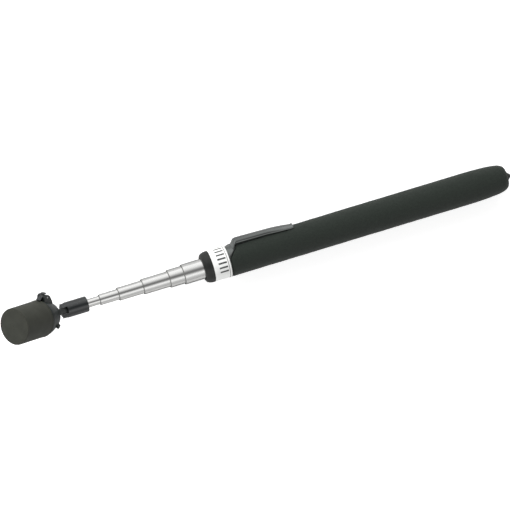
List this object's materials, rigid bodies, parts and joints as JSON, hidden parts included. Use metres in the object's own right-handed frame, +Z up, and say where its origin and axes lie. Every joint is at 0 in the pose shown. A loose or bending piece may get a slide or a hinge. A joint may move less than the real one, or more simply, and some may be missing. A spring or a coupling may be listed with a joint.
{
  "type": "telescopic magnetic pickup tool",
  "caption": "Pocket pickup tool: foam handle with a clip, nested steel tubes that pull out, and a strong capped magnet on a head that turns and tilts.",
  "frame": {"origin": "the middle of the bounding box's underside: the tool lies on z = 0 on its grip, stored as pictured with every section pulled out a little and the head turned up", "axes": "+X runs along the handle from the magnet head towards the grip's end, +Z is up with the head tilted towards it, and +Y is the side the pocket clip and the latch are on"},
  "size_m": [0.227, 0.0182, 0.0317],
  "materials": {
    "foam": "matte foam",
    "black_plastic": "semi-gloss",
    "shell_plastic": "satin",
    "cap_plastic": "matte",
    "label": "satin",
    "clip_steel": "gloss black",
    "chrome": "polished",
    "brass": "plain",
    "steel": "plain",
    "nickel": "nickel plated"
  },
  "bodies": {
    "handle": {"base_tube": "steel", "front_collar": "black_plastic", "label_band": "label", "grip_sleeve": "foam", "end_plug": "black_plastic"},
    "clip": {"pocket_clip": "clip_steel"},
    "section_6": {"tube_6": "chrome", "friction_bush_6": "brass"},
    "section_5": {"tube_5": "chrome", "friction_bush_5": "brass"},
    "section_4": {"tube_4": "chrome", "friction_bush_4": "brass"},
    "section_3": {"tube_3": "chrome", "friction_bush_3": "brass"},
    "section_2": {"tube_2": "chrome", "friction_bush_2": "brass"},
    "section_1": {"tube_1": "chrome", "friction_bush_1": "brass", "swivel_stud": "steel"},
    "fork": {"swivel_fork": "black_plastic", "pivot_rivet": "steel", "pivot_washer_near": "steel", "pivot_washer_far": "steel"},
    "head": {"swivel_tang": "black_plastic", "rear_shell": "shell_plastic", "latch_pin": "steel", "latch_spring": "steel", "backing_disc": "steel", "magnet": "nickel"},
    "cap": {"shield_cap": "cap_plastic", "shield_liner": "steel"},
    "latch": {"thumb_latch": "black_plastic"}
  },
  "joints": [
    {"name": "section_6_slide", "type": "slide", "parent": "handle", "child": "section_6", "axis": [-1, 0, 0], "range_m": [-0.0083, 0.102]},
    {"name": "section_5_slide", "type": "slide", "parent": "section_6", "child": "section_5", "axis": [-1, 0, 0], "range_m": [-0.0058, 0.1044]},
    {"name": "section_4_slide", "type": "slide", "parent": "section_5", "child": "section_4", "axis": [-1, 0, 0], "range_m": [-0.011, 0.0982]},
    {"name": "section_3_slide", "type": "slide", "parent": "section_4", "child": "section_3", "axis": [-1, 0, 0], "range_m": [-0.0102, 0.098]},
    {"name": "section_2_slide", "type": "slide", "parent": "section_3", "child": "section_2", "axis": [-1, 0, 0], "range_m": [-0.0077, 0.0995]},
    {"name": "section_1_slide", "type": "slide", "parent": "section_2", "child": "section_1", "axis": [-1, 0, 0], "range_m": [-0.0046, 0.1016]},
    {"name": "fork_spin", "type": "hinge", "parent": "section_1", "child": "fork", "pos_m": [-0.07959, -0.00099, 0.00672], "axis": [1, 0, 0], "continuous": true},
    {"name": "head_pivot", "type": "hinge", "parent": "fork", "child": "head", "pos_m": [-0.08479, -0.00099, 0.00672], "axis": [0, 0.9998, 0.0209], "range_deg": [-128.5, 51.5]},
    {"name": "cap_slide", "type": "slide", "parent": "head", "child": "cap", "axis": [-0.7826, -0.013, 0.6224], "range_m": [0, 0.017]},
    {"name": "latch_press", "type": "hinge", "parent": "head", "child": "latch", "pos_m": [-0.09251, 0.00709, 0.01776], "axis": [-0.5687, 0.4216, -0.7063], "range_deg": [0, 12], "stiffness_Nm_per_rad": 0.0005, "springref_deg": -8.59},
    {"name": "clip_flex", "type": "hinge", "parent": "handle", "child": "clip", "pos_m": [-0.01309, 0.00414, 0.00993], "axis": [0, -0.5299, 0.848], "range_deg": [0, 5], "stiffness_Nm_per_rad": 0.01, "springref_deg": -5.73}
  ]
}
